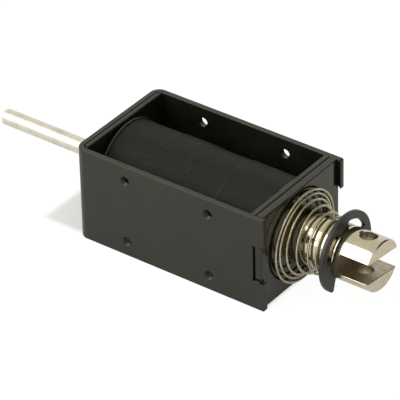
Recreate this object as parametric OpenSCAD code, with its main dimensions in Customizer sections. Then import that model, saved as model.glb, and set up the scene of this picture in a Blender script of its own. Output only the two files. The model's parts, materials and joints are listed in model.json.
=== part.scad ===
// Open-frame push-pull solenoid: a bent steel frame round a taped coil, with a forked plunger in
// front, a push rod behind and a conical spring that returns the plunger.
// X runs along the plunger axis towards the fork, Z is up. Stations along X are measured from the
// outer rear face of the frame; placed() moves them to the model's own origin.

/* [Frame] */
// Outer length of the side walls
frame_l = 79.7; // [74:0.1:95]
// Outer width over the side walls
frame_w = 47; // [45:0.1:54]
// Height of the bent strip
frame_h = 36.8; // [36:0.1:44]
// Thickness of the bent strip
strip_t = 2; // [1.6:0.1:2.6]
// Outer radius of the two rear bends
bend_r = 3.8; // [3:0.1:5]
// Corner radius at the front ends of the side walls
front_corner_r = 0.8; // [0.6:0.1:3]

/* [Side fixing holes] */
// Distance between the fixing holes along the frame
hole_pitch_x = 35; // [28:1:40]
// Distance between the fixing holes across the frame
hole_pitch_z = 25; // [20:1:28]
// Rear face of the frame to the first fixing hole
hole_first = 21.5; // [18:0.1:25]
// Bore of a fixing hole, the core of an M4 thread
hole_d = 3.3; // [2.5:0.1:3.4]
// Depth of the countersink at a fixing hole
hole_sink = 0.15; // [0.05:0.05:0.5]

/* [End plates] */
// Thickness of the plate inside the rear wall
rear_plate_t = 2; // [1.5:0.1:2.6]
// Thickness of the plate behind the front plate
inner_plate_t = 2.1; // [1.5:0.1:2.6]
// Thickness of the staked front plate
front_plate_t = 3.1; // [2.4:0.1:4]
// Front edge of the side walls to the face of the front plate
front_recess = 1.5; // [1:0.1:3]
// Height of the side tabs of the front plate
tab_h = 13.4; // [10:0.1:16]
// Length of a side tab inside the wall
tab_l = 1.1; // [0.4:0.1:1.4]
// Gap round a tab in its notch
tab_gap = 0.12; // [0.05:0.01:0.3]
// Radius of the reliefs and stake marks at a notch
stake_r = 0.9; // [0.5:0.1:1.2]
// Edge break of the plates
plate_edge = 0.35; // [0.1:0.05:0.6]

/* [Coil] */
// Radius of the bobbin cheeks
cheek_r = 17.9; // [17.4:0.1:18]
// Thickness of a bobbin cheek
cheek_t = 0.8; // [0.6:0.1:1.2]
// Wall of the bobbin barrel
barrel_t = 1.1; // [0.8:0.1:1.6]
// Radius over the copper winding
winding_r = 16.6; // [15:0.1:16.8]
// Thickness of the tape over the winding
tape_t = 0.65; // [0.4:0.05:0.8]
// Width of the tape
tape_w = 14.8; // [13:0.1:16]
// Thickness of the fibre washer behind the bobbin
fibre_t = 0.9; // [0.5:0.1:1.5]

/* [Pole and guide] */
// Rear face of the frame to the rim of the pole's conical seat
pole_l = 30; // [26:0.5:34]
// Diameter of the pole's staked spigot
spigot_d = 12; // [11:0.1:14]
// Wall of the brass guide tube
guide_t = 0.55; // [0.4:0.05:0.8]
// Length of the rod bush
bush_l = 12; // [8:0.5:16]
// Wall of the rod bush
bush_t = 1.2; // [0.8:0.1:1.6]
// Thickness of the shim that keeps the plunger from sticking
shim_t = 0.4; // [0.2:0.05:0.6]

/* [Plunger] */
// Diameter of the plunger
plunger_d = 19; // [18:0.1:20]
// Travel of the plunger from the stretched-out rest to its seat
stroke = 14; // [8:0.5:14]
// Front plate face to the tip of the fork at rest
fork_out = 33.3; // [32:0.1:38]
// Length of the conical nose
nose_l = 8; // [6:0.5:10]
// Radius of the nose's flat end
nose_r = 4.4; // [4:0.1:5]
// Turn of the plunger about its axis at rest
plunger_turn = -7; // [-10:1:10]
// Edge break at the fork tip
tip_edge = 0.45; // [0.2:0.05:0.8]

/* [Fork] */
// Width of the fork slot
slot_w = 7.5; // [6:0.1:9]
// Depth of the fork slot
slot_l = 11.8; // [10:0.1:13]
// Diameter of the cross hole for the link pin
pin_d = 6; // [4:0.1:7]
// Fork tip to the cross hole
pin_back = 6.5; // [5:0.1:7.5]
// Countersink at the cross hole
pin_sink = 0.5; // [0.2:0.1:0.8]

/* [Push rod] */
// Diameter of the push rod
rod_d = 6; // [4:0.1:6.4]
// Length of rod behind the frame at rest
rod_out = 50.5; // [30:0.5:70]
// Length of rod held in the plunger
rod_seat = 14; // [8:0.5:18]
// Chamfer at the free end of the rod
rod_edge = 0.5; // [0.2:0.1:0.8]

/* [Retaining clip] */
// Outer radius of the clip
clip_r = 14.7; // [14:0.1:16]
// Thickness of the clip
clip_t = 1.5; // [1.2:0.1:1.6]
// Radial width of the clip's outer bow
clip_bow = 2.9; // [2.4:0.1:3.2]
// Diameter at the bottom of the clip groove
groove_d = 15; // [14:0.1:16]
// Clear width of the clip's mouth
clip_mouth = 12.6; // [11:0.1:13]
// Front face of the clip to the end of the fork slot
clip_land = 2.6; // [2:0.1:4]
// Turn of the clip about the axis, from straight down
clip_turn = 9; // [-30:1:30]

/* [Return spring] */
// Wire diameter
wire_d = 0.9; // [0.6:0.05:1]
// Radius of the first turn, at the plate
spring_big_r = 17.5; // [15:0.1:17.9]
// Radial play of the last turn on the plunger
spring_play = 0.25; // [0.1:0.05:0.6]
// Axial length over the wire
spring_l = 13.1; // [10:0.1:14]
// Number of turns
spring_turns = 6; // [4:0.25:6.5]
// Gap between the plate and the loose first turn
spring_lift = 0.95; // [0.1:0.05:1.2]
// Drop of the loose first turn below the plunger axis
spring_sag = 0.9; // [0:0.1:1]

/* [Hidden] */
$fn = 96;
cut = 0.5;              // overrun of a cutting tool past a face
snug = 0.02;            // gap of a part that is pressed or glued in place
run = 0.06;             // radial gap of a sliding fit
step = 0.2;             // gap between shoulders that must not bind

// Stations along X, from the rear face of the frame
plate_face = frame_l - front_recess;
plate_back = plate_face - front_plate_t;
inner_back = plate_back - inner_plate_t;
rear_face = strip_t + rear_plate_t;
cheek_rear = rear_face + fibre_t;
coil_rear = cheek_rear + cheek_t;
coil_front = inner_back - cheek_t;
seat_bottom = pole_l - nose_l;
nose_x = seat_bottom + shim_t + step + stroke;
nose_full = nose_x + nose_l;
tip_x = plate_face + fork_out;
slot_end = tip_x - slot_l;
clip_front = slot_end - clip_land;
clip_back = clip_front - clip_t;
clip_slack = 0.05;
tape_shift = 2;         // the first band is laid a little wider than the tape
rod_end = nose_x + rod_seat;

// Radii
plunger_r = plunger_d / 2;
guide_in = plunger_r + run;
guide_out = guide_in + guide_t;
barrel_in = guide_out + snug;
barrel_out = barrel_in + barrel_t;
pole_r = guide_in - snug;
seat_lip = 0.6;         // flat rim round the pole's conical seat
seat_gap = 0.3;         // radial gap between cone and seat
rod_r = rod_d / 2;
rod_bore = rod_r + 0.4;
bush_in = rod_r + 0.04;
bush_out = bush_in + bush_t;
spring_small_r = plunger_r + spring_play + wire_d / 2;
tab_reach = frame_w / 2 - strip_t + tab_l;

axis_z = frame_h / 2;
inner_w = frame_w - 2 * strip_t;
notch_back = plate_back - tab_gap;
mid_x = (tip_x - rod_out) / 2;

// Moves stations along X to the model's origin, below the middle of the whole length
module placed() {
  translate([-mid_x, 0, 0]) children();
}

// Turns a shape made round Z so that it lies round the plunger axis, its Z running along X
module on_axis() {
  placed() translate([0, 0, axis_z]) rotate([90, 0, 90]) children();
}

// Solid of revolution round the plunger axis from [radius, station] points
module turned(points) {
  on_axis() rotate_extrude() polygon(points);
}

// Ring between two radii and two stations, with its outer edges broken
module ring(r_in, r_out, x0, x1, edge = 0) {
  turned([[r_in, x0], [r_out - edge, x0], [r_out, x0 + edge],
          [r_out, x1 - edge], [r_out - edge, x1], [r_in, x1]]);
}

// Cylinder along the plunger axis, a cutting tool
module axis_cut(r, x0, x1) {
  on_axis() translate([0, 0, x0]) cylinder(r = r, h = x1 - x0);
}

// Block given by its limits along X, its width and its lower and upper height
module block(x0, x1, w, z0, z1) {
  translate([x0, -w / 2, z0]) cube([x1 - x0, w, z1 - z0]);
}

// Cylinder across the frame, from one side to the other
module across(x, z, r, w) {
  translate([x, 0, z]) rotate([90, 0, 0]) cylinder(r = r, h = w, center = true, $fn = 48);
}

// Rear corner of the strip: two upright cylinders at the bends and the block between them
module bent_solid(inset, x_front, over) {
  r = bend_r - inset;
  w = frame_w - 2 * inset;
  for (s = [-1, 1])
    translate([bend_r, s * (w / 2 - r), -over]) cylinder(r = r, h = frame_h + 2 * over);
  block(inset, bend_r + r, w - 2 * r, -over, frame_h + over);
  block(bend_r, x_front, w, -over, frame_h + over);
}

// Notch that takes a tab of the front plate, with reliefs and stake marks
module tab_notch() {
  half = tab_h / 2 + tab_gap;
  w = frame_w + 2 * cut;
  block(notch_back, frame_l + cut, w, axis_z - half, axis_z + half);
  for (s = [-1, 1]) {
    across(notch_back + stake_r / 3, axis_z + s * half, stake_r / 2, w);
    across(plate_face + stake_r / 2, axis_z + s * half, stake_r, w);
  }
}

// Rounds the corner of a side wall at its front end, s = -1 for the lower one
module corner_cut(s) {
  r = front_corner_r;
  w = frame_w + 2 * cut;
  difference() {
    block(frame_l - r, frame_l + cut, w, s < 0 ? -cut : frame_h - r, s < 0 ? r : frame_h + cut);
    across(frame_l - r, s < 0 ? r : frame_h - r, r, w + 2 * cut);
  }
}

module fixing_hole(x, z, side) {
  face = side * frame_w / 2;
  across(x, z, hole_d / 2, frame_w + 2 * cut);
  translate([x, face, z]) rotate([side * 90, 0, 0])
    cylinder(r1 = hole_d / 2 + hole_sink, r2 = hole_d / 2, h = hole_sink, $fn = 48);
}

module frame() {
  color([0.13, 0.13, 0.12]) placed() difference() {
    bent_solid(0, frame_l, 0);
    bent_solid(strip_t, frame_l + cut, cut);
    tab_notch();
    for (s = [-1, 1])
      corner_cut(s);
    for (i = [0, 1], j = [-1, 1], side = [-1, 1])
      fixing_hole(hole_first + i * hole_pitch_x, axis_z + j * hole_pitch_z / 2, side);
    translate([-cut, 0, axis_z]) rotate([0, 90, 0])
      cylinder(r = spigot_d / 2 + snug, h = strip_t + 2 * cut);
  }
}

// Outline of a plate between the side walls, its top and bottom edges broken
module plate_blank(x0, x1, w) {
  e = plate_edge;
  rotate([90, 0, 0]) linear_extrude(w, center = true)
    polygon([[x0 + e, 0], [x1 - e, 0], [x1, e], [x1, frame_h - e],
             [x1 - e, frame_h], [x0 + e, frame_h], [x0, frame_h - e], [x0, e]]);
}

// Plate in the rear corner of the frame; its edges clear the inner radius of the bends
module rear_plate() {
  relief = bend_r - strip_t + snug;
  color([0.15, 0.15, 0.14]) placed() difference() {
    plate_blank(strip_t, rear_face, inner_w - 2 * snug);
    for (s = [-1, 1])
      translate([strip_t, s * inner_w / 2, -cut]) rotate([0, 0, 45])
        cube([relief * 1.3, relief * 1.3, 3 * frame_h], center = true);
    translate([0, 0, axis_z]) rotate([0, 90, 0]) cylinder(r = spigot_d / 2 + snug, h = rear_face + cut);
  }
}

module front_inner_plate() {
  color([0.15, 0.15, 0.14]) placed() difference() {
    plate_blank(inner_back, plate_back, inner_w - 2 * snug);
    translate([inner_back - cut, 0, axis_z]) rotate([0, 90, 0])
      cylinder(r = guide_out + snug, h = inner_plate_t + 2 * cut);
  }
}

module front_plate() {
  color([0.12, 0.12, 0.12]) placed() difference() {
    union() {
      plate_blank(plate_back, plate_face, inner_w - 2 * snug);
      block(plate_back, plate_face, 2 * tab_reach, axis_z - tab_h / 2, axis_z + tab_h / 2);
    }
    translate([plate_back - cut, 0, axis_z]) rotate([0, 90, 0])
      cylinder(r = guide_out + snug, h = front_plate_t + 2 * cut);
  }
}

// Iron pole with a staked spigot through the rear walls and a conical seat for the plunger
module fixed_pole() {
  spigot_r = spigot_d / 2;
  seat_r = nose_r + seat_gap;
  color("silver") difference() {
    turned([[0, 0.3], [spigot_r - 0.3, 0.3], [spigot_r, 0], [spigot_r, rear_face],
            [pole_r, rear_face], [pole_r, pole_l], [pole_r - seat_lip, pole_l],
            [seat_r, seat_bottom], [0, seat_bottom]]);
    axis_cut(rod_bore, -cut, seat_bottom + cut);
    axis_cut(bush_out + snug, -cut, bush_l + snug);
  }
}

module rod_bush() {
  color("goldenrod") ring(bush_in, bush_out, 0.3, bush_l, 0.2);
}

// Thin non-magnetic ring in the bottom of the seat
module shim_washer() {
  color("silver") ring(rod_bore, nose_r - 0.2, seat_bottom, seat_bottom + shim_t);
}

module guide_tube() {
  color("goldenrod") ring(guide_in, guide_out, rear_face, plate_face, 0.1);
}

module fibre_washer() {
  color("sienna") ring(guide_out + 0.3, cheek_r - 3, rear_face, cheek_rear);
}

module bobbin() {
  r = cheek_r;
  color("dimgray") turned([[barrel_in, cheek_rear], [r, cheek_rear], [r, coil_rear],
                           [barrel_out, coil_rear], [barrel_out, coil_front], [r, coil_front],
                           [r, inner_back], [barrel_in, inner_back]]);
}

// Layers of enamelled wire, their ends slightly stepped back from the cheeks
module winding() {
  color("peru") ring(barrel_out, winding_r, coil_rear, coil_front, 0.3);
}

// One turn of tape round the winding, i = 0 at the rear; alternate bands lie a little higher
module tape_band(i) {
  x0 = coil_rear + i * tape_w + (i == 0 ? 0 : tape_shift);
  x1 = i == 3 ? coil_front : coil_rear + (i + 1) * tape_w + tape_shift;
  lift = i % 2 == 0 ? 0 : 0.12;
  color([0.09, 0.09, 0.09]) ring(winding_r, winding_r + tape_t + lift, x0, x1, 0.15);
}

module tape_band_1() { tape_band(0); }
module tape_band_2() { tape_band(1); }
module tape_band_3() { tape_band(2); }
module tape_band_4() { tape_band(3); }

// Conical helix: the first turns lie wide and close together, the last ones hug the plunger
wire_sides = 10;
ring_steps = 26;        // rings of points to a turn
spring_start = -72;     // angle of the first wire end, from +Y towards +Z
flare_hold = 1.32;      // a larger power keeps the first turns wide for longer
flare_fall = 2.06;      // a larger power brings the last turns to the plunger sooner
pitch_hold = 1.67;      // a larger power keeps the first turns close together for longer
function ease(u) = u * u * (3 - 2 * u);
function flare(u) = pow(1 - pow(u, flare_hold), flare_fall);
function spring_r(u) = spring_small_r + (spring_big_r - spring_small_r) * flare(u);
function spring_x(u) = wire_d / 2 + (spring_l - wire_d) * ease(pow(u, pitch_hold));
function spring_drop(u) = spring_sag * (1 - u);

module return_spring() {
  n = round(spring_turns * ring_steps);
  points = [for (i = [0:n], j = [0:wire_sides - 1])
    let (u = i / n, a = spring_start + 360 * spring_turns * u, b = 360 * j / wire_sides,
         r = spring_r(u) + wire_d / 2 * cos(b))
    [r * cos(a), r * sin(a) - spring_drop(u),
     plate_face + spring_lift + spring_x(u) + wire_d / 2 * sin(b)]];
  sides = [for (i = [0:n - 1], j = [0:wire_sides - 1])
    let (k = (j + 1) % wire_sides, p = i * wire_sides, q = p + wire_sides)
    [p + j, p + k, q + k, q + j]];
  caps = [[for (j = [wire_sides - 1:-1:0]) j], [for (j = [0:wire_sides - 1]) n * wire_sides + j]];
  color("khaki") on_axis() polyhedron(points, concat(sides, caps), convexity = 10);
}

// Outline of the retaining clip, mouth down: an open bow with three prongs that grip the groove
module clip_outline() {
  grip = groove_d / 2 + clip_slack;
  bow_in = clip_r - clip_bow;
  mouth = clip_mouth / 2;
  flare = 5;            // the mouth widens by this much on each side
  prong_w = 5.4;
  difference() {
    offset(0.8) offset(-1.6) offset(0.8) difference() {
      circle(r = clip_r);
      difference() {
        circle(r = bow_in);
        translate([-prong_w / 2, 0]) square([prong_w, clip_r]);
        for (s = [-1, 1])
          rotate(s * 168) translate([s < 0 ? -clip_r : 0, 0]) square([clip_r, clip_r]);
      }
      polygon([[-mouth, 0], [mouth, 0], [mouth, -grip / 2], [mouth + flare, -clip_r],
               [-mouth - flare, -clip_r], [-mouth, -grip / 2]]);
    }
    circle(r = grip);
  }
}

module retaining_clip() {
  color([0.1, 0.1, 0.1]) on_axis() translate([0, 0, clip_back]) rotate(clip_turn)
    linear_extrude(clip_t) clip_outline();
}

// Round plunger: conical nose behind, clip groove, and a fork with a cross hole in front
module plunger() {
  r = plunger_r;
  g = groove_d / 2;
  color([0.78, 0.76, 0.7]) placed() translate([0, 0, axis_z]) rotate([plunger_turn, 0, 0]) difference() {
    rotate([90, 0, 90]) rotate_extrude() polygon([
      [0, nose_x], [nose_r, nose_x], [r - seat_lip - seat_gap, nose_full], [r, nose_full],
      [r, clip_back - clip_slack], [g, clip_back - clip_slack], [g, clip_front + clip_slack],
      [r, clip_front + clip_slack], [r, tip_x - tip_edge], [r - tip_edge, tip_x], [0, tip_x]]);
    translate([slot_end, -r - cut, -slot_w / 2]) cube([slot_l + cut, plunger_d + 2 * cut, slot_w]);
    translate([tip_x - pin_back, 0, -r - cut]) cylinder(d = pin_d, h = plunger_d + 2 * cut);
    for (s = [0, 180])
      translate([tip_x - pin_back, 0, 0]) rotate([s, 0, 0]) translate([0, 0, r - 2 * pin_sink])
        cylinder(r1 = pin_d / 2, r2 = pin_d / 2 + 2 * pin_sink, h = 2 * pin_sink);
    translate([nose_x - cut, 0, 0]) rotate([0, 90, 0]) cylinder(r = rod_r + snug, h = rod_seat + snug + cut);
  }
}

module push_rod() {
  color([0.72, 0.7, 0.66]) turned([[0, -rod_out], [rod_r - rod_edge, -rod_out],
    [rod_r, rod_edge - rod_out], [rod_r, rod_end], [0, rod_end]]);
}

frame();
rear_plate();
front_inner_plate();
front_plate();
fixed_pole();
rod_bush();
shim_washer();
guide_tube();
fibre_washer();
bobbin();
winding();
tape_band_1();
tape_band_2();
tape_band_3();
tape_band_4();
return_spring();
retaining_clip();
plunger();
push_rod();
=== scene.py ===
import json
import math

import bmesh
import bpy
from mathutils import Matrix, Vector, noise


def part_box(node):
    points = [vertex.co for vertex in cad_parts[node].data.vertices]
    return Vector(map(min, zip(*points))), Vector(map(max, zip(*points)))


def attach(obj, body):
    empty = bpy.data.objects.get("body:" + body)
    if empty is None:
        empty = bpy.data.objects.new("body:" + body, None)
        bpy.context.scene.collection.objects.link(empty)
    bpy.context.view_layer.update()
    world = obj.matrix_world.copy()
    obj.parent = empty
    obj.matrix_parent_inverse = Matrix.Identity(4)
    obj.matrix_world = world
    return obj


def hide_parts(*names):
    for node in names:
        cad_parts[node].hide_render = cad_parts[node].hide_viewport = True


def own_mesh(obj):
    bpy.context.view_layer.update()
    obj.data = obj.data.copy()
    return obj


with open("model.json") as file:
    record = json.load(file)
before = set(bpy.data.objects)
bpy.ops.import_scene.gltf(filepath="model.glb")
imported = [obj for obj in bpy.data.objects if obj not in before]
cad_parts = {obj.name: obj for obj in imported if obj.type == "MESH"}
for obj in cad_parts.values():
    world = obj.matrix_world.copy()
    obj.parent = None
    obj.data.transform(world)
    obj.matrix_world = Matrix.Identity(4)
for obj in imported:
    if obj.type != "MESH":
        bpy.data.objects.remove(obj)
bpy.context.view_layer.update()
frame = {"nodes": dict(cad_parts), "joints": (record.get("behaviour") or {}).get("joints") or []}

mm = 0.001
turn = 2 * math.pi
scene = bpy.context.scene

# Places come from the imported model: stations run along X, the plunger axis lies at axisZ.
wallLow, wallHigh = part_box("frame")
axisZ = (wallLow.z + wallHigh.z) / 2
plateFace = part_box("front_plate")[1].x
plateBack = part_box("front_plate")[0].x


class Field:
    # a socket of a node tree: sums on it add Math nodes
    def __init__(self, graph, socket):
        self.graph, self.socket = graph, socket

    def other(self, name):
        return Field(self.graph, self.socket.node.outputs[name])

    def __add__(self, value):
        return self.graph.math("ADD", self, value)

    def __sub__(self, value):
        return self.graph.math("SUBTRACT", self, value)

    def __rsub__(self, value):
        return self.graph.math("SUBTRACT", value, self)

    def __mul__(self, value):
        return self.graph.math("MULTIPLY", self, value)

    def __truediv__(self, value):
        return self.graph.math("DIVIDE", self, value)

    def __pow__(self, value):
        return self.graph.math("POWER", self, value)

    __radd__ = __add__
    __rmul__ = __mul__

    # 0 below low, 1 above high, smooth between
    def rise(self, low, high):
        return self.graph.add("ShaderNodeMapRange", {"interpolation_type": "SMOOTHSTEP"},
                              {"Value": self, "From Min": low, "From Max": high})


class Graph:
    def __init__(self, tree):
        self.tree = tree
        tree.nodes.clear()

    # settings are set first, then the sockets get their values or links, by name or number
    def add(self, kind, settings=None, inputs=None, out=0):
        node = self.tree.nodes.new(kind)
        for name, value in (settings or {}).items():
            setattr(node, name, value)
        for name, value in (inputs or {}).items():
            if isinstance(value, Field):
                self.tree.links.new(value.socket, node.inputs[name])
            else:
                node.inputs[name].default_value = value
        return Field(self, node.outputs[out]) if len(node.outputs) else node

    def math(self, operation, *values):
        return self.add("ShaderNodeMath", {"operation": operation}, dict(enumerate(values)))

    def mix(self, share, first, second):
        return self.add("ShaderNodeMix", {"data_type": "RGBA"}, {0: share, 6: first, 7: second}, 2)


class Finish(Graph):
    # a material: constants go straight on the shader's sockets, patterns are fed in later
    def __init__(self, name, constants):
        self.material = bpy.data.materials.new(name)
        self.material.use_nodes = True
        super().__init__(self.material.node_tree)
        self.shader = self.tree.nodes.new("ShaderNodeBsdfPrincipled")
        for key, value in constants.items():
            self.shader.inputs[key].default_value = value
        self.add("ShaderNodeOutputMaterial", None, {"Surface": Field(self, self.shader.outputs[0])})
        self.place = self.add("ShaderNodeTexCoord", out="Object")

    # noise with grains of the given size in millimetres, or of three sizes along X, Y and Z
    def grain(self, size, detail=3.0, roughness=0.5, at=None):
        sizes = size if isinstance(size, (tuple, list)) else (size, size, size)
        stretched = self.add("ShaderNodeVectorMath", {"operation": "MULTIPLY"},
                             {0: at or self.place, 1: [1 / (s * mm) for s in sizes]})
        return self.add("ShaderNodeTexNoise", None,
                        {"Vector": stretched, "Scale": 1.0, "Detail": detail, "Roughness": roughness})

    def feed(self, **fields):
        names = {"colour": "Base Color", "roughness": "Roughness", "normal": "Normal"}
        for key, field in fields.items():
            self.tree.links.new(field.socket, self.shader.inputs[names[key]])
        return self.material

    def bump(self, height, depth, strength=1.0):
        return self.add("ShaderNodeBump", None,
                        {"Height": height, "Distance": depth * mm, "Strength": strength})

    def axes(self, at=None):
        split = self.add("ShaderNodeSeparateXYZ", None, {0: at or self.place})
        return split, split.other("Y"), split.other("Z")


# Closed outline with its corners rounded: (a, b, radius) points
def rounded(corners, steps=4):
    done = []
    for i, (a, b, radius) in enumerate(corners):
        here = Vector((a, b))
        back = Vector(corners[i - 1][:2]) - here
        ahead = Vector(corners[(i + 1) % len(corners)][:2]) - here
        if not radius:
            done.append(here)
            continue
        half = back.angle(ahead) / 2
        cut = min(radius / math.tan(half), 0.48 * back.length, 0.48 * ahead.length)
        radius = cut * math.tan(half)
        start, end = here + back.normalized() * cut, here + ahead.normalized() * cut
        centre = here + (back.normalized() + ahead.normalized()).normalized() * (radius / math.sin(half))
        first, sweep = start - centre, (start - centre).angle_signed(end - centre)
        for k in range(steps + 1):
            done.append(centre + Matrix.Rotation(-sweep * k / steps, 2) @ first)
    return done


def asObject(name, work, smoothAngle=32):
    bmesh.ops.recalc_face_normals(work, faces=work.faces)
    mesh = bpy.data.meshes.new(name)
    work.to_mesh(mesh)
    work.free()
    mesh.shade_smooth()
    mesh.set_sharp_from_angle(angle=math.radians(smoothAngle))
    made = bpy.data.objects.new(name, mesh)
    scene.collection.objects.link(made)
    return made


# Replaces a piece's mesh by what its modifiers make of it
def applied(piece):
    graph = bpy.context.evaluated_depsgraph_get()
    mesh = bpy.data.meshes.new_from_object(piece.evaluated_get(graph), depsgraph=graph)
    piece.modifiers.clear()
    piece.data = mesh
    mesh.name = piece.name
    return piece


def settle(piece, smoothAngle=32):
    mesh = applied(piece).data
    mesh.shade_smooth()
    mesh.set_sharp_from_angle(angle=math.radians(smoothAngle))
    return piece


def carve(piece, *cutters):
    for cutter in cutters:
        cut = piece.modifiers.new("carve", "BOOLEAN")
        cut.object, cut.operation, cut.solver = cutter, "DIFFERENCE", "EXACT"
        settle(piece)
        bpy.data.objects.remove(cutter)
    return piece


# Lets flat faces keep flat shading beside their rounded edges
def evenFaces(piece):
    weighted = piece.modifiers.new("evenFaces", "WEIGHTED_NORMAL")
    weighted.keep_sharp, weighted.weight = True, 100
    return applied(piece)


# Solid of revolution about the plunger axis from (x, radius, rounding) points; shift(x, r, angle)
# moves a point outwards. Its UV map runs along X and round the girth, in metres.
def lathe(name, corners, segments=128, steps=4, shift=None, pole=False, maxLength=None):
    outline = rounded(corners, steps)
    if maxLength:
        finer = []
        for i, point in enumerate(outline):
            ahead = outline[(i + 1) % len(outline)]
            parts = max(1, math.ceil((ahead - point).length / maxLength))
            finer += [point.lerp(ahead, k / parts) for k in range(parts)]
        outline = finer
    work = bmesh.new()
    uv = work.loops.layers.uv.new("wrap")
    rings = []
    for x, r in outline:
        if r < 1e-7:
            rings.append([work.verts.new((x, 0, axisZ))])
            continue
        ring = []
        for k in range(segments):
            angle = turn * k / segments
            out = r + (shift(x, r, angle) if shift else 0)
            ring.append(work.verts.new((x, out * math.cos(angle), axisZ + out * math.sin(angle))))
        rings.append(ring)
    girth = max(r for x, r in outline) * turn
    for i, ring in enumerate(rings):
        if i == len(rings) - 1 and pole:
            break
        nextRing = rings[(i + 1) % len(rings)]
        if len(ring) == 1 and len(nextRing) == 1:
            continue
        xs = (outline[i].x, outline[(i + 1) % len(rings)].x)
        for k in range(segments):
            n = (k + 1) % segments
            spots = [(ring, k, 0), (ring, n, 0), (nextRing, n, 1), (nextRing, k, 1)]
            if len(ring) == 1:
                spots = [(ring, 0, 0)] + spots[2:]
            elif len(nextRing) == 1:
                spots = spots[:2] + [(nextRing, 0, 1)]
            face = work.faces.new([r[j] for r, j, side in spots])
            for loop, (r, j, side) in zip(face.loops, spots):
                share = (k + 1 if j == n and len(r) > 1 else k) / segments
                loop[uv].uv = (xs[side], share * girth)
    return asObject(name, work)


# Solid from rings of equally many points, closed at both ends
def stacked(name, rings):
    work = bmesh.new()
    loops = [[work.verts.new(point) for point in ring] for ring in rings]
    work.faces.new(loops[0])
    work.faces.new(loops[-1])
    for first, second in zip(loops, loops[1:]):
        for k in range(len(first)):
            j = (k + 1) % len(first)
            work.faces.new((first[k], first[j], second[j], second[k]))
    return asObject(name, work)


# Prism along Y or X from an outline of (a, b) points: a is X or Y, b is Z
def prism(name, outline, low, high, along="Y"):
    return stacked(name, [[(a, depth, b) if along == "Y" else (depth, a, b) for a, b in outline]
                          for depth in (low, high)])


def circle(a, b, radius, steps=48):
    return [(a + radius * math.cos(turn * k / steps), b + radius * math.sin(turn * k / steps))
            for k in range(steps)]


def joined(name, parts):
    work = bmesh.new()
    for part in parts:
        work.from_mesh(part.data)
        bpy.data.objects.remove(part)
    return asObject(name, work)


def dress(piece, body, slot, materials, *nodes):
    piece.data.materials.clear()
    for material in materials:
        piece.data.materials.append(material)
    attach(piece, body)
    if nodes:
        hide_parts(*nodes)
    return piece


# Black coat on steel: faint orange peel, slow changes of gloss, thinner coat on the cut edges
def blackCoat(name, look):
    coat = Finish(name, {"Specular IOR Level": look["specular"], "Specular Tint": look["glossTint"]})
    z = coat.axes()[2]
    cloud = coat.grain(look["cloudSize"], 4.0, 0.55)
    speck = coat.grain(0.35, 2.0, 0.6)
    edge = coat.math("ABSOLUTE", z - axisZ).rise(18.0 * mm, 18.45 * mm)
    thin = edge * (0.35 + 0.65 * coat.grain(0.9, 3.0, 0.7).rise(0.42, 0.62))
    colour = coat.mix(cloud.rise(0.3, 0.7), look["dark"], look["light"])
    colour = coat.mix(thin * look["edgeWear"], colour, look["edge"])
    rough = look["roughness"] + (cloud - 0.5) * look["glossChange"] + (speck - 0.5) * 0.06
    height = speck * 0.5 + coat.grain(1.4, 2.0, 0.5) * 0.5
    return coat.feed(colour=colour, roughness=rough, normal=coat.bump(height, look["peel"]))


frameLook = {"dark": (0.005, 0.005, 0.003, 1), "light": (0.009, 0.009, 0.006, 1),
             "edge": (0.03, 0.03, 0.022, 1), "edgeWear": 0.5, "roughness": 0.36, "specular": 0.5,
             "glossTint": (1.0, 0.99, 0.84, 1), "glossChange": 0.10, "cloudSize": 9.0, "peel": 0.006}
plateLook = dict(frameLook, roughness=0.10, glossChange=0.05, peel=0.004, edgeWear=0.35)


# Turned or drawn metal: fine rings round the axis, light smears, and pores
def turnedMetal(name, look):
    metal = Finish(name, {"Metallic": 1.0})
    rings = metal.grain((look["ringPitch"], 40.0, 40.0), 2.0, 0.6)
    coarse = metal.grain((look["ringPitch"] * 5, 30.0, 30.0), 2.0, 0.5)
    smear = metal.grain((7.0, 4.0, 4.0), 4.0, 0.6)
    pores = metal.grain(0.5, 2.0, 0.5).rise(0.68, 0.78)
    tone = metal.mix(smear.rise(0.35, 0.7), look["bright"], look["dull"])
    tone = metal.mix(coarse.rise(0.45, 0.7) * 0.25, tone, look["stain"])
    tone = metal.mix(pores * 0.25, tone, look["stain"])
    rough = look["roughness"] + (rings - 0.5) * look["ringGloss"] + smear.rise(0.5, 0.8) * 0.05
    height = rings * 0.7 + coarse * 0.3 - pores * 0.3
    return metal.feed(colour=tone, roughness=rough, normal=metal.bump(height, look["ringDepth"]))


nickelLook = {"bright": (0.62, 0.57, 0.45, 1), "dull": (0.54, 0.49, 0.37, 1),
              "stain": (0.36, 0.30, 0.20, 1), "roughness": 0.12, "ringPitch": 0.12,
              "ringGloss": 0.10, "ringDepth": 0.0022}
rodLook = dict(nickelLook, bright=(0.76, 0.73, 0.63, 1), dull=(0.66, 0.63, 0.54, 1),
               roughness=0.36, ringPitch=0.3, ringDepth=0.002)
# Brass toned far darker than bright brass: painted shade for the dark round the guide tube's rim in the
# plate's bore; the rod bush shares it
shadeDarkBrassLook = dict(nickelLook, bright=(0.16, 0.12, 0.06, 1), dull=(0.10, 0.07, 0.035, 1),
                 stain=(0.05, 0.035, 0.02, 1), roughness=0.36)
steelLook = dict(nickelLook, bright=(0.50, 0.49, 0.47, 1), dull=(0.38, 0.37, 0.35, 1),
                 stain=(0.20, 0.17, 0.14, 1), roughness=0.34, ringPitch=0.2, ringDepth=0.004)


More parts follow.
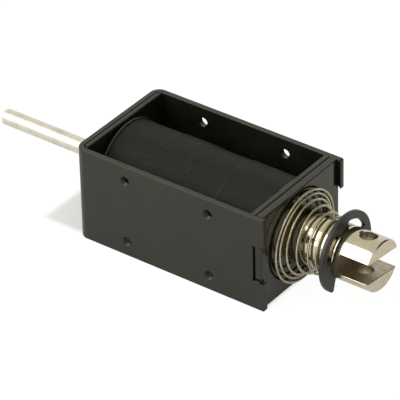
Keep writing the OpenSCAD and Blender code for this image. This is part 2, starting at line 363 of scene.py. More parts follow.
# Milled faces of the fork: arcs that the cutter left, slightly stained
def milledMetal(name, look, centre):
    metal = Finish(name, {"Metallic": 1.0})
    offset = metal.add("ShaderNodeVectorMath", {"operation": "SUBTRACT"},
                       {0: metal.place, 1: tuple(centre)})
    x, y, z = metal.axes(offset)
    reach = metal.math("SQRT", x * x + y * y + z * z * 0.2)
    wander = metal.grain(3.0, 3.0, 0.5)
    arcs = metal.math("SINE", (reach / (look["feed"] * mm)) * turn + wander * 3.0)
    streak = metal.grain((2.6, 1.1, 2.0), 4.0, 0.6)
    tone = metal.mix(streak.rise(0.35, 0.65), look["bright"], look["dull"])
    tone = metal.mix((arcs * 0.5 + 0.5) * 0.3, tone, look["stain"])
    rough = look["roughness"] + arcs * 0.04 + (streak - 0.5) * 0.15
    return metal.feed(colour=tone, roughness=rough,
                      normal=metal.bump(arcs * 0.5 + streak * 0.6, look["depth"]))


# Tape of woven cloth: threads along and round the coil, wrinkles from the winding, and edges
# frayed to a paler line at the seams between the bands
def clothTape(name, look, seams):
    tape = Finish(name, {"Specular IOR Level": look["specular"]})
    wrap = tape.add("ShaderNodeUVMap", {"uv_map": "wrap"})
    u, v = tape.axes(wrap)[:2]
    warp = tape.math("SINE", u * (turn / (look["thread"] * mm)))
    weft = tape.math("SINE", v * (turn / (look["thread"] * mm)))
    weave = tape.math("MAXIMUM", warp, weft) + warp * weft * 0.4
    dust = tape.grain(1.2, 4.0, 0.65)
    streak = tape.grain((22.0, 1.3, 1.3), 4.0, 0.6)
    tone = tape.mix(streak.rise(0.35, 0.7), look["dark"], look["light"])
    tone = tape.mix(dust.rise(0.50, 0.72) * 0.5, tone, look["dust"])
    x = tape.axes()[0]
    wander = (tape.grain(6.0, 2.0, 0.5) - 0.5) * (look["fray"] * mm)
    worn = tape.grain((1.0, 3.0, 3.0), 4.0, 0.7).rise(0.38, 0.6)
    for seam in seams:
        line = 1 - tape.math("ABSOLUTE", x + wander - seam).rise(0.1 * mm, look["fray"] * mm)
        tone = tape.mix(line * worn * 0.8, tone, look["edge"])
    rough = look["roughness"] + (streak - 0.5) * 0.25
    height = weave * 0.25 + streak * 1.8 + dust * 0.8
    return tape.feed(colour=tone, roughness=rough, normal=tape.bump(height, look["depth"]))


tapeLook = {"dark": (0.005, 0.005, 0.003, 1), "light": (0.013, 0.013, 0.008, 1),
            "dust": (0.024, 0.024, 0.016, 1), "edge": (0.045, 0.044, 0.034, 1), "thread": 0.3,
            "fray": 0.45, "roughness": 0.62, "specular": 0.22, "depth": 0.06}


# Drawn wire: mottled tone with fine specks, slightly yellow plating
def drawnWire(name, look):
    wire = Finish(name, {"Metallic": 1.0})
    cloud = wire.grain(2.2, 3.0, 0.6)
    fine = wire.grain(0.25, 3.0, 0.6)
    tone = wire.mix(cloud.rise(0.35, 0.68), look["bright"], look["dull"])
    tone = wire.mix(fine.rise(0.6, 0.75) * 0.4, tone, look["stain"])
    rough = look["roughness"] + (cloud - 0.5) * 0.2
    return wire.feed(colour=tone, roughness=rough, normal=wire.bump(fine, 0.006))


# Black oxide on a stamped ring: rubbed lighter in small specks
def blackOxide(name, look):
    oxide = Finish(name, {"Specular IOR Level": 0.5})
    cloud = oxide.grain(2.4, 4.0, 0.6)
    speck = oxide.grain(0.3, 3.0, 0.7)
    tone = oxide.mix(cloud.rise(0.35, 0.68), look["dark"], look["light"])
    tone = oxide.mix(speck.rise(0.62, 0.72) * 0.35, tone, look["rubbed"])
    rough = look["roughness"] + (cloud - 0.5) * 0.16 + (speck - 0.5) * 0.1
    return oxide.feed(colour=tone, roughness=rough, normal=oxide.bump(speck + cloud * 0.5, 0.012))


# Pressed fibre, nylon and enamelled wire, which show only at the coil's ends
def fibreBoard(name):
    board = Finish(name, {"Specular IOR Level": 0.3})
    strand = board.grain((0.8, 0.12, 2.5), 4.0, 0.6)
    tone = board.mix(strand.rise(0.35, 0.7), (0.17, 0.09, 0.05, 1), (0.26, 0.15, 0.09, 1))
    return board.feed(colour=tone, roughness=0.6 + strand * 0.2, normal=board.bump(strand, 0.02))


def mouldedNylon(name):
    nylon = Finish(name, {"Specular IOR Level": 0.45})
    cloud = nylon.grain(3.0, 3.0, 0.5)
    speck = nylon.grain(0.2, 2.0, 0.6)
    tone = nylon.mix(cloud.rise(0.3, 0.7), (0.012, 0.012, 0.010, 1), (0.022, 0.021, 0.018, 1))
    return nylon.feed(colour=tone, roughness=0.42 + speck * 0.1, normal=nylon.bump(speck, 0.006))


def copperWire(name):
    wire = Finish(name, {"Metallic": 1.0})
    x = wire.axes()[0]
    turns = wire.math("SINE", x * (turn / (0.5 * mm)))
    cloud = wire.grain(3.0, 3.0, 0.5)
    tone = wire.mix(cloud.rise(0.3, 0.7), (0.55, 0.22, 0.08, 1), (0.70, 0.32, 0.13, 1))
    return wire.feed(colour=tone, roughness=0.25 + cloud * 0.1, normal=wire.bump(turns, 0.12))


frameCoat = blackCoat("frameCoat", frameLook)
plateCoat = blackCoat("plateCoat", plateLook)
nickel = turnedMetal("nickel", nickelLook)
rodMetal = turnedMetal("rodMetal", rodLook)
brass = turnedMetal("brass", shadeDarkBrassLook)
iron = turnedMetal("iron", steelLook)
tapeCloth = clothTape("tapeCloth", tapeLook, [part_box(f"tape_band_{i}")[1].x for i in (1, 2, 3)])
springWire = drawnWire("springWire", {"bright": (0.52, 0.48, 0.34, 1), "dull": (0.38, 0.33, 0.21, 1),
                                      "stain": (0.16, 0.13, 0.07, 1), "roughness": 0.20})
clipOxide = blackOxide("clipOxide", {"dark": (0.009, 0.009, 0.006, 1), "light": (0.018, 0.017, 0.012, 1),
                                     "rubbed": (0.05, 0.047, 0.036, 1), "roughness": 0.42})
print("finishes made")


strip = {"thickness": 2.0 * mm, "bendRadius": 3.8 * mm, "edgeRound": 0.32 * mm,
         "cornerRadius": 0.8 * mm, "endRound": 0.25 * mm, "bendSteps": 14}


# Rounded section of the strip, its edges drawn in by inset and its height by drop
def stripSection(inset, drop):
    t, h = strip["thickness"] / 2 - inset, (wallHigh.z - wallLow.z) / 2 - inset - drop
    r = max(strip["edgeRound"] - inset, 0.06 * mm)
    return rounded([(t, -h, r), (t, h, r), (-t, h, r), (-t, -h, r)], 4)


def bentStrip():
    t, r = strip["thickness"] / 2, strip["bendRadius"]
    corner, end = strip["cornerRadius"], strip["endRound"]
    halfWidth = (wallHigh.y - wallLow.y) / 2
    path = []                                  # (x, y, outward normal, inset, drop)
    depths = [0.0, 0.15 * end, 0.45 * end, end]
    depths += [corner * (1 - math.cos(a)) for a in (0.95, 1.15, 1.35, turn / 4)]
    for depth in sorted(depths):
        inset = end - math.sqrt(max(end ** 2 - (end - depth) ** 2, 0)) if depth < end else 0
        drop = corner - math.sqrt(max(corner ** 2 - (corner - depth) ** 2, 0))
        path.append((wallHigh.x - depth, -halfWidth + t, (0, -1), inset, drop))
    for x in (0.030, 0.015, 0.0, -0.015):
        path.append((x, -halfWidth + t, (0, -1), 0, 0))
    for k in range(strip["bendSteps"] + 1):
        a = turn / 4 * k / strip["bendSteps"]
        n = (-math.sin(a), -math.cos(a))
        path.append((wallLow.x + r + n[0] * (r - t), -halfWidth + r + n[1] * (r - t), n, 0, 0))
    path += [(x, -y, (n[0], -n[1]), inset, drop) for x, y, n, inset, drop in reversed(path)]
    work = bmesh.new()
    rings = []
    for x, y, n, inset, drop in path:
        rings.append([work.verts.new((x + n[0] * a, y + n[1] * a, axisZ + b))
                      for a, b in stripSection(inset, drop)])
    for first, second in zip(rings, rings[1:]):
        for k in range(len(first)):
            j = (k + 1) % len(first)
            work.faces.new((first[k], first[j], second[j], second[k]))
    work.faces.new(rings[0])
    work.faces.new(rings[-1])
    return asObject("steelFrame", work)


holes = {"first": 21.5 * mm, "pitchX": 35.0 * mm, "pitchZ": 25.0 * mm, "core": 1.65 * mm,
         "sink": 0.15 * mm, "threadPitch": 0.7 * mm, "threadDepth": 0.34 * mm}
holeSpots = [(wallLow.x + holes["first"] + i * holes["pitchX"], side, axisZ + j * holes["pitchZ"] / 2)
             for i in (0, 1) for side in (-1, 1) for j in (-1, 1)]


# Cutter for one fixing hole, wider at both faces of the wall
def holeCutter(x, side, z):
    outer = wallHigh.y
    inner = outer - strip["thickness"]
    core, sink, past = holes["core"], holes["sink"], 0.5 * mm
    stations = [(inner - past, core + sink + past), (inner + sink, core), (outer - sink, core),
                (outer + past, core + sink + past)]
    return stacked("cutter", [[(a, side * y, b) for a, b in circle(x, z, r)] for y, r in stations])


notch = {"half": 6.82 * mm, "gap": 0.05 * mm, "stake": 0.8 * mm, "rollOver": 0.25 * mm}


# Outline drawn in by an even amount, corner by corner
def drawnIn(outline, amount):
    done = []
    for i, point in enumerate(outline):
        here = Vector(point)
        back = (here - Vector(outline[i - 1])).normalized()
        ahead = (Vector(outline[(i + 1) % len(outline)]) - here).normalized()
        leftBack, leftAhead = Vector((-back.y, back.x)), Vector((-ahead.y, ahead.x))
        done.append(here + (leftBack + leftAhead) * (amount / (1 + leftBack.dot(leftAhead))))
    return done


# Cutter through one side wall that leaves the punched edge rolled over outside
def punch(outline, side):
    r, past = notch["rollOver"], 1 * mm
    outer = wallHigh.y
    levels = [(outer - strip["thickness"] - past, 0)]
    for a in (0.0, 0.35, 0.7, 1.05, 1.4):
        levels.append((outer - r * (1 - math.sin(a)), r * (1 - math.cos(a))))
    levels.append((outer + past, r))
    return stacked("cutter", [[(a, side * y, b) for a, b in drawnIn(outline, -grown)]
                              for y, grown in levels])


# The notch for a tab of the front plate: a square cut, round reliefs behind and stake marks in front
def notchCutters():
    back, half, stake = plateBack - notch["gap"], notch["half"], notch["stake"]
    front = wallHigh.x + 1 * mm
    box = [(back, axisZ - half), (front, axisZ - half), (front, axisZ + half), (back, axisZ + half)]
    cutters = []
    for side in (-1, 1):
        cutters.append(punch(box, side))
        for s in (-1, 1):
            cutters.append(punch(circle(back + stake / 3, axisZ + s * half, stake / 2, 24), side))
            cutters.append(punch(circle(plateFace + stake / 2, axisZ + s * half, stake, 32), side))
    return cutters


# Tree of geometry nodes with a named input for every size
def nodeTree(name, sizes):
    tree = bpy.data.node_groups.new(name, "GeometryNodeTree")
    for size, value in sizes.items():
        kind = "NodeSocketInt" if isinstance(value, int) else "NodeSocketFloat"
        tree.interface.new_socket(size, in_out="INPUT", socket_type=kind).default_value = value
    tree.interface.new_socket("Geometry", in_out="OUTPUT", socket_type="NodeSocketGeometry")
    graph = Graph(tree)
    given = graph.add("NodeGroupInput")
    return tree, graph, {size: given.other(size) for size in sizes}


# Runs a tree on an empty mesh and keeps the plain mesh that it makes
def grow(name, tree, sizes):
    mesh = bpy.data.meshes.new(name)
    made = bpy.data.objects.new(name, mesh)
    scene.collection.objects.link(made)
    maker = made.modifiers.new("maker", "NODES")
    maker.node_group = tree
    for item in tree.interface.items_tree:
        if item.in_out == "INPUT" and item.name in sizes:
            maker[item.identifier] = sizes[item.name]
    return settle(made, 50)


def close(graph, geometry, material):
    real = graph.add("GeometryNodeRealizeInstances", None, {"Geometry": geometry})
    done = graph.add("GeometryNodeSetMaterial", None, {"Geometry": real, "Material": material})
    graph.add("NodeGroupOutput", None, {"Geometry": done})


# One helical tap for every fixing hole, a turn longer than the wall is thick
def tapTree(sizes):
    tree, graph, given = nodeTree("taps", sizes)
    rounds = given["length"] / given["pitch"]
    helix = graph.add("GeometryNodeCurveSpiral", None,
                      {"Resolution": 32, "Rotations": rounds, "Start Radius": given["radius"],
                       "End Radius": given["radius"], "Height": given["length"]})
    tooth = graph.add("GeometryNodeCurvePrimitiveCircle", None,
                      {"Resolution": 4, "Radius": given["depth"]})
    upright = graph.add("GeometryNodeSetCurveNormal", {"mode": "Z_UP"}, {"Curve": helix})
    ridge = graph.add("GeometryNodeCurveToMesh", None,
                      {"Curve": upright, "Profile Curve": tooth, "Fill Caps": True})
    spots = graph.tree.nodes.new("GeometryNodeJoinGeometry")
    for x, side, z in holeSpots:
        start = side * (wallHigh.y - strip["thickness"] / 2) - sizes["length"] / 2
        spot = graph.add("GeometryNodeMeshLine", None, {"Count": 1, "Start Location": (x, start, z)})
        graph.tree.links.new(spot.socket, spots.inputs[0])
    placed = graph.add("GeometryNodeInstanceOnPoints", None,
                       {"Points": Field(graph, spots.outputs[0]), "Instance": ridge,
                        "Rotation": (-turn / 4, 0, 0)})
    close(graph, placed, frameCoat)
    return tree


tapSizes = {"radius": holes["core"], "pitch": holes["threadPitch"], "depth": holes["threadDepth"],
            "length": strip["thickness"] + 2 * holes["threadPitch"]}

steelFrame = bentStrip()
carve(steelFrame, *notchCutters())
carve(steelFrame, joined("cutter", [holeCutter(*spot) for spot in holeSpots]))
carve(steelFrame, grow("cutter", tapTree(tapSizes), tapSizes))
spigotRadius = 6.02 * mm
carve(steelFrame, prism("cutter", circle(0, axisZ, spigotRadius, 96),
                        wallLow.x - 1 * mm, wallLow.x + strip["thickness"] + 1 * mm, "X"))
evenFaces(steelFrame)
dress(steelFrame, "frame", "black_satin", [frameCoat], "frame")
print("frame bent, punched and tapped")


plates = {"edgeRound": 0.38 * mm, "slit": 0.16 * mm, "slitDepth": 0.75 * mm, "slitLip": 0.1 * mm,
          "snug": 0.02 * mm, "bore": 10.13 * mm, "tabHalf": 6.7 * mm}


# Plate across the frame: an outline of (y, z) points and a round bore. Its punched edges are rolled
# over, and on the side that meets the other plate they fall away to a narrow slit.
def platePiece(name, outline, low, high, bore, slitLow):
    work = bmesh.new()
    r, slit, deep = plates["edgeRound"], plates["slit"], plates["slitDepth"]
    bend = [(r * (1 - math.sin(a)), r * (1 - math.cos(a)))
            for a in (turn / 4, turn * 0.19, turn * 0.125, turn * 0.06, 0)]
    gap = [(0, deep), (slit, plates["slitLip"]), (2 * slit, 0)]
    levels = [(low + depth, inset) for depth, inset in (gap if slitLow else bend)]
    levels += [(high - depth, inset) for depth, inset in reversed(bend if slitLow else gap)]
    outer = [[work.verts.new((x, y, z)) for y, z in drawnIn(outline, inset)] for x, inset in levels]
    small = 0.15 * mm
    boreLevels = [(low, small), (low + small, 0), (high - small, 0), (high, small)]
    inner = [[work.verts.new((x, y, z)) for y, z in circle(0, axisZ, bore + wider, 96)]
             for x, wider in boreLevels]
    for rings in (outer, inner):
        for first, second in zip(rings, rings[1:]):
            for k in range(len(first)):
                j = (k + 1) % len(first)
                work.faces.new((first[k], first[j], second[j], second[k]))
    work.edges.ensure_lookup_table()
    for a, b in ((outer[0], inner[0]), (outer[-1], inner[-1])):
        rim = [work.edges.get((ring[k], ring[(k + 1) % len(ring)])) for ring in (a, b)
               for k in range(len(ring))]
        bmesh.ops.triangle_fill(work, edges=rim, use_beauty=True)
    return evenFaces(asObject(name, work))


plateHalf = wallHigh.y - strip["thickness"] - plates["snug"]
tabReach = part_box("front_plate")[1].y
plain = [(-plateHalf, wallLow.z), (plateHalf, wallLow.z), (plateHalf, wallHigh.z), (-plateHalf, wallHigh.z)]
tabLow, tabHigh = axisZ - plates["tabHalf"], axisZ + plates["tabHalf"]
tabbed = [(-plateHalf, wallLow.z), (plateHalf, wallLow.z), (plateHalf, tabLow), (tabReach, tabLow),
          (tabReach, tabHigh), (plateHalf, tabHigh), (plateHalf, wallHigh.z), (-plateHalf, wallHigh.z),
          (-plateHalf, tabHigh), (-tabReach, tabHigh), (-tabReach, tabLow), (-plateHalf, tabLow)]
frontPlate = platePiece("frontPlate", tabbed, plateBack, plateFace, plates["bore"], True)
dress(frontPlate, "frame", "black_gloss", [plateCoat], "front_plate")
innerLow, innerHigh = (corner.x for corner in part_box("front_inner_plate"))
innerPlate = platePiece("innerPlate", plain, innerLow, innerHigh, plates["bore"], False)
dress(innerPlate, "frame", "black_satin", [frameCoat], "front_inner_plate")


# A CAD solid's copy with its edges rounded, for shapes that are right as they are
def softened(name, node, width, angle=35):
    work = bmesh.new()
    work.from_mesh(frame["nodes"][node].data)
    bmesh.ops.remove_doubles(work, verts=work.verts, dist=1e-6)
    bmesh.ops.dissolve_limit(work, angle_limit=math.radians(1), verts=work.verts, edges=work.edges)
    made = asObject(name, work)
    soft = made.modifiers.new("soften", "BEVEL")
    soft.width, soft.segments, soft.limit_method = width, 3, "ANGLE"
    soft.angle_limit, soft.use_clamp_overlap = math.radians(angle), False
    soft.miter_outer = "MITER_ARC"
    return evenFaces(settle(made))


rearPlate = softened("rearPlate", "rear_plate", 0.25 * mm)
dress(rearPlate, "frame", "black_satin", [frameCoat], "rear_plate")
print("plates fitted")


def ends(node):
    low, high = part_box(node)
    return low.x, high.x, (high.z - low.z) / 2


poleRear, poleFront, poleRadius = ends("fixed_pole")
pole = {"spigot": 6.0 * mm, "bore": 4.26 * mm, "rodBore": 3.4 * mm, "seat": 4.7 * mm, "seatDepth": 8.0 * mm}
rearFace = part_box("rear_plate")[1].x
bushFront = ends("rod_bush")[1]
stakes = 4


# Four punch marks press the spigot's rim outwards into the frame
def staked(x, r, angle):
    if x > poleRear + 0.5 * mm or r < 4.6 * mm:
        return 0
    mark = max(0.0, math.cos(angle * stakes / 2)) ** 24
    return 0.12 * mm * mark


poleProfile = [(poleRear + 0.3 * mm, pole["bore"], 0.1 * mm), (poleRear + 0.3 * mm, 4.7 * mm, 0.2 * mm),
               (poleRear + 0.75 * mm, 5.05 * mm, 0.15 * mm), (poleRear + 0.3 * mm, 5.4 * mm, 0.15 * mm),
               (poleRear, pole["spigot"] - 0.1 * mm, 0.12 * mm),
               (poleRear + 0.3 * mm, pole["spigot"], 0.1 * mm),
               (rearFace, pole["spigot"], 0), (rearFace, poleRadius, 0.2 * mm),
               (poleFront, poleRadius, 0.15 * mm), (poleFront, poleRadius - 0.6 * mm, 0.1 * mm),
               (poleFront - pole["seatDepth"], pole["seat"], 0.2 * mm),
               (poleFront - pole["seatDepth"], pole["rodBore"], 0.1 * mm),
               (bushFront + 0.05 * mm, pole["rodBore"], 0), (bushFront + 0.05 * mm, pole["bore"], 0)]
dress(lathe("fixedPole", poleProfile, 96, shift=staked), "frame", "bare_steel", [iron], "fixed_pole")


# Plain ring between two stations
def ringPiece(name, node, inner, edge, segments=96):
    low, high, outer = ends(node)
    corners = [(low, inner, edge), (low, outer, edge), (high, outer, edge), (high, inner, edge)]
    return lathe(name, corners, segments)


bores = {"rodBush": 3.04 * mm, "shimWasher": 3.4 * mm, "guideTube": 9.56 * mm, "fibreWasher": 10.41 * mm}
rodBush = ringPiece("rodBush", "rod_bush", bores["rodBush"], 0.15 * mm)
dress(rodBush, "frame", "brass", [brass], "rod_bush")
shimWasher = ringPiece("shimWasher", "shim_washer", bores["shimWasher"], 0.05 * mm)
dress(shimWasher, "frame", "stainless", [iron], "shim_washer")
guideTube = ringPiece("guideTube", "guide_tube", bores["guideTube"], 0.15 * mm, 128)
dress(guideTube, "frame", "brass", [brass], "guide_tube")
fibreWasher = ringPiece("fibreWasher", "fibre_washer", bores["fibreWasher"], 0.1 * mm)
dress(fibreWasher, "frame", "fibre", [fibreBoard("fibreBoard")], "fibre_washer")

cheekRear, cheekFront, cheekRadius = ends("bobbin")
cheek = {"thickness": 0.8 * mm, "round": 0.3 * mm, "barrelIn": 10.13 * mm, "barrelOut": 11.23 * mm}
bobbinProfile = [(cheekRear, cheek["barrelIn"], 0.1 * mm), (cheekRear, cheekRadius, cheek["round"]),
                 (cheekRear + cheek["thickness"], cheekRadius, cheek["round"]),
                 (cheekRear + cheek["thickness"], cheek["barrelOut"], 0.2 * mm),
                 (cheekFront - cheek["thickness"], cheek["barrelOut"], 0.2 * mm),
                 (cheekFront - cheek["thickness"], cheekRadius, cheek["round"]),
                 (cheekFront, cheekRadius, cheek["round"]), (cheekFront, cheek["barrelIn"], 0.1 * mm)]
dress(lathe("bobbinBody", bobbinProfile, 128), "frame", "nylon", [mouldedNylon("mouldedNylon")], "bobbin")

# The wire turns lie in a shallow screw under the tape
windRear, windFront, windRadius = ends("winding")
windingProfile = [(windRear, cheek["barrelOut"], 0), (windRear, windRadius, 0.4 * mm),
                  (windFront, windRadius, 0.4 * mm), (windFront, cheek["barrelOut"], 0)]
wirePitch = 0.9 * mm


def wireRidge(x, r, angle):
    if r < windRadius - 0.5 * mm:
        return 0
    return -0.16 * mm * (1 - abs(math.cos(math.pi * (x / wirePitch + angle / turn))))


dress(lathe("wireWinding", windingProfile, 96, shift=wireRidge, maxLength=0.3 * mm), "frame", "copper_wire",
      [copperWire("copperWire")], "winding")

tape = {"segments": 224, "step": 1.0 * mm, "edge": 0.08 * mm, "wrinkle": 0.16 * mm, "spiral": 0.14 * mm,
        "lip": 0.06 * mm}


# Height of the tape's surface over its even radius: wrinkles along the coil, a spiral with a step
# where the tape ends, and a lip at its edges
def tapeShift(low, high, inner, seed, endAngle):
    def shift(x, r, angle):
        if r < inner + 0.2 * mm:
            return 0
        y, z = math.cos(angle), math.sin(angle)
        slow = noise.noise(Vector((x / (26 * mm) + seed, y * 3.2, z * 3.2)))
        fold = noise.noise(Vector((x / (9 * mm) + seed * 3, y * 9, z * 9)))
        around = ((angle - endAngle) / turn) % 1.0
        spiral = tape["spiral"] * (min(around / 0.985, (1 - around) / 0.015) - 0.5)
        lip = tape["lip"] * max(0.0, 1 - min(x - low, high - x) / (0.9 * mm)) ** 2
        return tape["wrinkle"] * (slow * 0.8 + fold * 0.55) + spiral + lip * (0.4 + fold)
    return shift


for i, endAngle in enumerate((4.0, 0.9, 5.2, 3.6)):
    node = f"tape_band_{i + 1}"
    low, high, outer = ends(node)
    inner = windRadius + 0.02 * mm
    profile = [(low, inner, 0), (low, outer, tape["edge"]), (high, outer, tape["edge"]), (high, inner, 0)]
    band = lathe(f"tapeBand{i + 1}", profile, tape["segments"],
                 shift=tapeShift(low, high, inner, 1.7 * i + 0.4, endAngle), maxLength=tape["step"])
    dress(band, "frame", "tape", [tapeCloth], node)
print("coil wound and taped")


# Conical helix: points along a line are moved onto the spring's law, then swept with the wire
spring = {"turns": 6.0, "bigRadius": 17.5 * mm, "smallRadius": 10.2 * mm, "length": 13.1 * mm,
          "wire": 0.9 * mm, "lift": 0.95 * mm, "sag": 0.9 * mm, "startDegrees": -72.0, "points": 620,
          "flareHold": 1.32, "flareFall": 2.06, "pitchHold": 1.67}


def springTree(sizes):
    tree, graph, given = nodeTree("returnSpring", sizes)
    line = graph.add("GeometryNodeMeshLine", None, {"Count": given["points"]})
    index = graph.add("GeometryNodeInputIndex")
    u = index / (given["points"] - 1.0)
    late = u ** given["pitchHold"]
    along = late * late * (3.0 - late * 2.0)
    flare = (1.0 - u ** given["flareHold"]) ** given["flareFall"]
    radius = given["smallRadius"] + (given["bigRadius"] - given["smallRadius"]) * flare
    angle = (given["startDegrees"] / 360.0 + given["turns"] * u) * turn
    x = given["plateX"] + given["lift"] + given["wire"] * 0.5 + (given["length"] - given["wire"]) * along
    y = radius * graph.math("COSINE", angle)
    z = radius * graph.math("SINE", angle) + axisZ - given["sag"] * (1.0 - u)
    spot = graph.add("ShaderNodeCombineXYZ", None, {0: x, 1: y, 2: z})
    moved = graph.add("GeometryNodeSetPosition", None, {"Geometry": line, "Position": spot})
    curve = graph.add("GeometryNodeMeshToCurve", None, {"Mesh": moved})
    section = graph.add("GeometryNodeCurvePrimitiveCircle", None,
                        {"Resolution": 16, "Radius": given["wire"] * 0.5})
    wire = graph.add("GeometryNodeCurveToMesh", None,
                     {"Curve": curve, "Profile Curve": section, "Fill Caps": True})
    smooth = graph.add("GeometryNodeSetShadeSmooth", None, {"Geometry": wire, "Shade Smooth": True})
    close(graph, smooth, springWire)
    return tree


springSizes = dict(spring, plateX=plateFace)
coilSpring = grow("coilSpring", springTree(springSizes), springSizes)
dress(coilSpring, "frame", "spring_wire", [springWire], "return_spring")
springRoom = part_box("retaining_clip")[0].x - plateFace
slide = next(joint for joint in frame["joints"] if joint["name"] == "plunger_slide")
travel = max(abs(end) for end in slide["range_m"])
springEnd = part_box("return_spring")[1].x - plateFace
(springRoom - travel) / springEnd
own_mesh(coilSpring)
print("spring wound")


clip = softened("retainingRing", "retaining_clip", 0.22 * mm)
dress(clip, "clip", "black_oxide", [clipOxide], "retaining_clip")


plungerRear, tipX, plungerRadius = ends("plunger")
clipRear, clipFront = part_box("retaining_clip")[0].x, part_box("retaining_clip")[1].x
plunger = {"roll": math.radians(-7), "noseRadius": 4.4 * mm, "noseLength": 8.0 * mm, "groove": 7.5 * mm,
           "slack": 0.05 * mm, "tipEdge": 0.45 * mm, "slotWidth": 7.5 * mm, "slotDepth": 11.8 * mm,
           "pinRadius": 3.0 * mm, "pinBack": 6.5 * mm, "pinSink": 0.5 * mm,
           "rodHole": 3.02 * mm, "rodSeat": 14.0 * mm, "edgeBreak": 0.14 * mm}


# Turns a mesh about the plunger axis to the plunger's roll at rest
def rolled(piece):
    about = Matrix.Translation((0, 0, axisZ)) @ Matrix.Rotation(plunger["roll"], 4, "X") \
        @ Matrix.Translation((0, 0, -axisZ))
    piece.data.transform(about)
    return piece


def plungerBody():
    p, r = plunger, plungerRadius
    tip = p["tipEdge"]
    profile = [(plungerRear, 0, 0), (plungerRear, p["noseRadius"], 0.3 * mm),
               (plungerRear + p["noseLength"], r - 0.9 * mm, 0.2 * mm),
               (plungerRear + p["noseLength"], r, 0.2 * mm),
               (clipRear - p["slack"], r, 0.15 * mm), (clipRear - p["slack"], p["groove"], 0.1 * mm),
               (clipFront + p["slack"], p["groove"], 0.1 * mm), (clipFront + p["slack"], r, 0.15 * mm),
               (tipX - tip, r, 0.12 * mm), (tipX, r - tip, 0.12 * mm), (tipX, 0, 0)]
    body = lathe("plungerBody", profile, 192, 3, pole=True, maxLength=1.5 * mm)
    # slot with a chamfered mouth, cross hole with countersinks, hole for the rod
    slotEnd, half, b = tipX - p["slotDepth"], p["slotWidth"] / 2, p["edgeBreak"]
    reach = r + 2 * mm
    slot = prism("cutter", [(slotEnd, axisZ - half), (tipX + 1 * mm, axisZ - half),
                            (tipX + 1 * mm, axisZ + half), (slotEnd, axisZ + half)], -reach, reach)
    lips = []
    edgeY = math.sqrt(r * r - half * half)
    for sy in (-1, 1):
        for sz in (-1, 1):
            y, z = sy * edgeY, axisZ + sz * half
            lips.append(prism("cutter", [(y + b, z), (y, z + b), (y - b, z), (y, z - b)],
                              slotEnd, tipX + 1 * mm, "X"))
    mouth = []
    for sz in (-1, 1):
        z = axisZ + sz * half
        mouth.append(prism("cutter", [(tipX - b, z), (tipX, z + b), (tipX + b, z), (tipX, z - b)],
                           -reach, reach))
    carve(body, slot, joined("cutter", lips), joined("cutter", mouth), pinCutter())
    rodHole = prism("cutter", circle(0, axisZ, p["rodHole"], 64), plungerRear - 1 * mm,
                    plungerRear + p["rodSeat"], "X")
    carve(body, rodHole)
    return rolled(evenFaces(body))


# Cutter for the cross hole with its countersinks
def pinCutter():
    p, past = plunger, 1.5 * mm
    sink, top = p["pinSink"], plungerRadius + past
    stations = [(-top, p["pinRadius"] + sink + past), (sink - plungerRadius, p["pinRadius"]),
                (plungerRadius - sink, p["pinRadius"]), (top, p["pinRadius"] + sink + past)]
    return stacked("cutter", [[(x, y, axisZ + z) for x, y in circle(tipX - p["pinBack"], 0, radius, 96)]
                              for z, radius in stations])


plungerPiece = plungerBody()
# Darker copy of the milled finish for the slot and cross-hole faces: the cutter's arcs are real, the darker
# tone is painted shade inside the slot
shadedSlotMetal = milledMetal("shadedSlotMetal", {"bright": (0.50, 0.43, 0.32, 1), "dull": (0.34, 0.28, 0.20, 1),
                                      "stain": (0.22, 0.17, 0.11, 1), "roughness": 0.34, "feed": 0.55,
                                      "depth": 0.02}, (tipX + 3 * mm, -4 * mm, axisZ))
# Lighter copy of the milled finish for the tines' end faces: painted light
litEndMetal = milledMetal("litEndMetal", {"bright": (0.72, 0.65, 0.50, 1), "dull": (0.62, 0.55, 0.42, 1),
                                    "stain": (0.45, 0.38, 0.27, 1), "roughness": 0.3, "feed": 0.3,
                                    "depth": 0.008}, (tipX, 0, axisZ))
dress(plungerPiece, "plunger", "nickel_plate", [nickel, shadedSlotMetal, litEndMetal], "plunger")
# Faces inside the slot and cross hole take the painted-shade copy, the tines' end faces the painted-light
# copy
unroll = Matrix.Rotation(-plunger["roll"], 3, "X")
for face in plungerPiece.data.polygons:
    centre = unroll @ (face.center - Vector((0, 0, axisZ)))
    normal = unroll @ face.normal
    if centre.x > tipX - plunger["slotDepth"] - 0.01 * mm:
        if abs(normal.z) > 0.9 and abs(centre.z) < plunger["slotWidth"] / 2 + 0.02 * mm:
            face.material_index = 1
        elif normal.x > 0.9 and centre.x < tipX - 1 * mm:
            face.material_index = 1
        elif math.hypot(centre.x - tipX + plunger["pinBack"], centre.y) < plunger["pinRadius"] + 0.02 * mm:
            face.material_index = 1
        elif normal.x > 0.95:
            face.material_index = 2

rodTip, rodEnd, rodRadius = ends("push_rod")
rodProfile = [(rodTip, 0, 0), (rodTip, rodRadius - 0.5 * mm, 0.15 * mm),
              (rodTip + 0.5 * mm, rodRadius, 0.3 * mm),
              (rodEnd, rodRadius, 0.1 * mm), (rodEnd, 0, 0)]
pushRod = lathe("pushRod", rodProfile, 64, pole=True, maxLength=4 * mm)
dress(pushRod, "plunger", "satin_nickel", [rodMetal], "push_rod")
print("plunger and rod turned")


stage = {"floorSize": 8.0, "floorColour": (0.92, 0.92, 0.91, 1), "glowStrength": 1.1,
         "glowSeen": 0.85, "glowMirrored": 0.25, "paintedShadowEdge": 4 * mm,
         "airStrength": 0.62, "zenith": (0.86, 0.84, 0.74, 1),
         "darkSide": (0.60, 0.70, 0.38), "darkTint": (0.10, 0.10, 0.08, 1)}


# Shares of 1 for rays that see the background straight, and mirrored or refracted
def seenRays(graph):
    ray = graph.add("ShaderNodeLightPath")
    return ray.other("Is Camera Ray"), graph.math("MAXIMUM", ray.other("Is Glossy Ray"),
                                                  ray.other("Is Transmission Ray"))
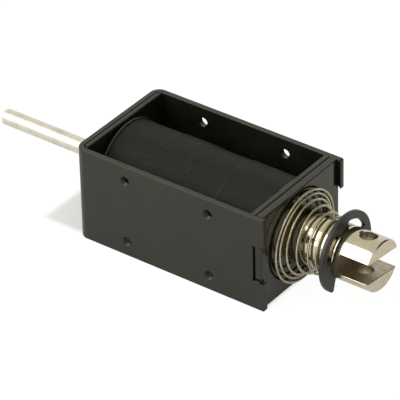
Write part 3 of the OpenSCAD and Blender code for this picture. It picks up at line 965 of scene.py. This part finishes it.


# Share of 1 where the floor glows; it falls to 0 in a box under the part, set by position: a painted shadow
def outsidePaintedShadow(paper):
    at = paper.add("ShaderNodeSeparateXYZ", None, {0: paper.add("ShaderNodeTexCoord", out="Object")})
    x, y = (paper.math("ABSOLUTE", axis) for axis in (at, at.other("Y")))
    soft = stage["paintedShadowEdge"]
    return paper.math("MAXIMUM", x.rise(wallHigh.x - soft, wallHigh.x),
                      y.rise(wallHigh.y - soft, wallHigh.y))


def makeFloor():
    half = stage["floorSize"] / 2
    mesh = bpy.data.meshes.new("floor")
    corners = [(-half, -half, 0), (half, -half, 0), (half, half, 0), (-half, half, 0)]
    mesh.from_pydata(corners, [], [(0, 1, 2, 3)])
    floor = bpy.data.objects.new("floor", mesh)
    scene.collection.objects.link(floor)
    material = bpy.data.materials.new("floorPaper")
    material.use_nodes = True
    paper = Graph(material.node_tree)
    plain = paper.add("ShaderNodeBsdfDiffuse", None, {"Color": stage["floorColour"]})
    glow = paper.add("ShaderNodeEmission", None, {"Strength": stage["glowStrength"]})
    # the floor's glow is cut off in a box under the part: painted shadow
    clear = outsidePaintedShadow(paper)
    straight, bounced = (kind * clear for kind in seenRays(paper))
    share = paper.math("MAXIMUM", straight * stage["glowSeen"], bounced * stage["glowMirrored"])
    paper.add("ShaderNodeOutputMaterial", None,
              {"Surface": paper.add("ShaderNodeMixShader", None, {0: share, 1: plain, 2: glow})})
    floor.data.materials.append(material)


# White all round, paler overhead and dark on the far right, where the room has no backdrop
def makeAir():
    world = bpy.data.worlds.new("studio")
    scene.world = world
    world.use_nodes = True
    sky = Graph(world.node_tree)
    straight, bounced = seenRays(sky)
    toward = sky.add("ShaderNodeTexCoord", out="Generated")
    height = sky.add("ShaderNodeSeparateXYZ", None, {0: toward}, out=2)
    tint = sky.mix(height.rise(0.30, 0.75) * (1 - straight), (1, 1, 1, 1), stage["zenith"])
    side = sky.add("ShaderNodeVectorMath", {"operation": "DOT_PRODUCT"},
                   {0: toward, 1: Vector(stage["darkSide"]).normalized()}, out="Value")
    tint = sky.mix(side.rise(0.80, 0.95) * bounced, tint, stage["darkTint"])
    seen = sky.math("MAXIMUM", straight, bounced)
    strength = stage["airStrength"] + seen * (1 - stage["airStrength"])
    air = sky.add("ShaderNodeBackground", None, {"Color": tint, "Strength": strength})
    sky.add("ShaderNodeOutputWorld", None, {"Surface": air})


makeFloor()
makeAir()


# Square lamp whose strength is given as the brightness of its face
def areaLamp(name, position, target, size, radiance):
    light = bpy.data.lights.new(name, "AREA")
    light.shape, light.size, light.energy = "SQUARE", size, radiance * math.pi * size ** 2
    lamp = bpy.data.objects.new(name, light)
    scene.collection.objects.link(lamp)
    lamp.location = position
    lamp.rotation_euler = (Vector(target) - Vector(position)).to_track_quat("-Z", "Y").to_euler()
    return lamp


areaLamp("softBox", (-0.36, -0.60, 0.60), (0.03, 0, 0.02), 0.85, 2.5)

view = {"azimuth": 37.297, "elevation": 34.256, "roll": -1.416, "lens": 304.0,
        "position": (0.58885, -0.7662, 0.67154)}


def makeCamera():
    azimuth, elevation, roll = (math.radians(view[k]) for k in ("azimuth", "elevation", "roll"))
    back = Vector((math.sin(azimuth) * math.cos(elevation), -math.cos(azimuth) * math.cos(elevation),
                   math.sin(elevation)))
    side = Vector((math.cos(azimuth), math.sin(azimuth), 0))
    up = back.cross(side)
    right = math.cos(roll) * side + math.sin(roll) * up
    top = back.cross(right)
    data = bpy.data.cameras.new("camera")
    data.lens, data.sensor_width = view["lens"], 36.0
    data.clip_start, data.clip_end = 0.01, 20.0
    camera = bpy.data.objects.new("camera", data)
    scene.collection.objects.link(camera)
    turned = Matrix((right, top, back)).transposed().to_4x4()
    camera.matrix_world = Matrix.Translation(view["position"]) @ turned
    scene.camera = camera


makeCamera()
scene.view_settings.view_transform = "Standard"
print("stage lit")
